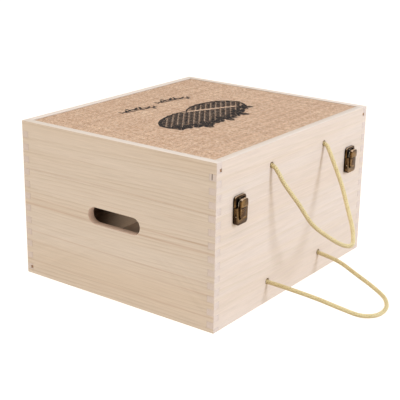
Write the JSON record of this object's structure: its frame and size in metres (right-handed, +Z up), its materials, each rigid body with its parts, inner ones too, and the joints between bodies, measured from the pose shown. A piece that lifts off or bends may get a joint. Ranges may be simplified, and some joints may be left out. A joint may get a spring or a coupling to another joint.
{
  "type": "wooden wine crate",
  "caption": "Finger-jointed wooden crate for wine bottles, with a hinged burlap-topped lid, toggle latches, rope handles and side hand holes.",
  "frame": {"origin": "on the ground under the middle of the box", "axes": "+Z up, -Y towards the face with the latches and the ropes, +X towards the right-hand end seen from that face"},
  "size_m": [0.35, 0.4393, 0.205],
  "materials": {
    "pale_wood": "bare planed, matte",
    "panel_wood": "bare, matte",
    "burlap": "woven, matte",
    "gold_rope": "braided, soft sheen",
    "antique_bronze": "darkened, satin",
    "aged_brass": "satin"
  },
  "bodies": {
    "crate_body": {"body_front_board": "pale_wood", "body_back_board": "pale_wood", "body_left_board": "pale_wood", "body_right_board": "pale_wood", "bottom_panel": "panel_wood", "left_cradle_rail": "panel_wood", "right_cradle_rail": "panel_wood", "lower_rope": "gold_rope", "lower_knot_left": "gold_rope", "lower_knot_right": "gold_rope", "left_latch_base": "antique_bronze", "left_latch_pin": "aged_brass", "left_latch_base_nail_1": "aged_brass", "left_latch_base_nail_2": "aged_brass", "left_hinge_body_leaf": "antique_bronze", "left_hinge_pin": "aged_brass", "left_hinge_body_screw_1": "aged_brass", "left_hinge_body_screw_2": "aged_brass", "right_latch_base": "antique_bronze", "right_latch_pin": "aged_brass", "right_latch_base_nail_1": "aged_brass", "right_latch_base_nail_2": "aged_brass", "right_hinge_body_leaf": "antique_bronze", "right_hinge_pin": "aged_brass", "right_hinge_body_screw_1": "aged_brass", "right_hinge_body_screw_2": "aged_brass"},
    "lid": {"lid_front_board": "pale_wood", "lid_back_board": "pale_wood", "lid_left_board": "pale_wood", "lid_right_board": "pale_wood", "lid_panel": "panel_wood", "burlap_cover": "burlap", "upper_rope": "gold_rope", "upper_knot_left": "gold_rope", "upper_knot_right": "gold_rope", "left_latch_catch": "antique_bronze", "left_latch_catch_nail": "aged_brass", "left_hinge_lid_leaf": "antique_bronze", "left_hinge_lid_screw_1": "aged_brass", "left_hinge_lid_screw_2": "aged_brass", "right_latch_catch": "antique_bronze", "right_latch_catch_nail": "aged_brass", "right_hinge_lid_leaf": "antique_bronze", "right_hinge_lid_screw_1": "aged_brass", "right_hinge_lid_screw_2": "aged_brass"},
    "left_lever": {"left_latch_lever": "antique_bronze"},
    "left_bail": {"left_latch_bail": "aged_brass"},
    "right_lever": {"right_latch_lever": "antique_bronze"},
    "right_bail": {"right_latch_bail": "aged_brass"}
  },
  "joints": [
    {"name": "lid_hinge", "type": "hinge", "parent": "crate_body", "child": "lid", "pos_m": [0, 0.1534, 0.14305], "axis": [-1, 0, 0], "range_deg": [0, 180]},
    {"name": "left_lever_hinge", "type": "hinge", "parent": "crate_body", "child": "left_lever", "pos_m": [-0.1305, -0.1544, 0.1344], "axis": [1, 0, 0], "range_deg": [0, 110]},
    {"name": "left_bail_hinge", "type": "hinge", "parent": "left_lever", "child": "left_bail", "pos_m": [-0.1305, -0.1526, 0.1328], "axis": [1, 0, 0], "range_deg": [-88, 0]},
    {"name": "right_lever_hinge", "type": "hinge", "parent": "crate_body", "child": "right_lever", "pos_m": [0.1305, -0.1544, 0.1344], "axis": [1, 0, 0], "range_deg": [0, 110]},
    {"name": "right_bail_hinge", "type": "hinge", "parent": "right_lever", "child": "right_bail", "pos_m": [0.1305, -0.1526, 0.1328], "axis": [1, 0, 0], "range_deg": [-88, 0]}
  ],
  "couplings": [
    {"joint": "left_bail_hinge", "follows": "left_lever_hinge", "ratio": -0.8},
    {"joint": "right_bail_hinge", "follows": "right_lever_hinge", "ratio": -0.8}
  ]
}
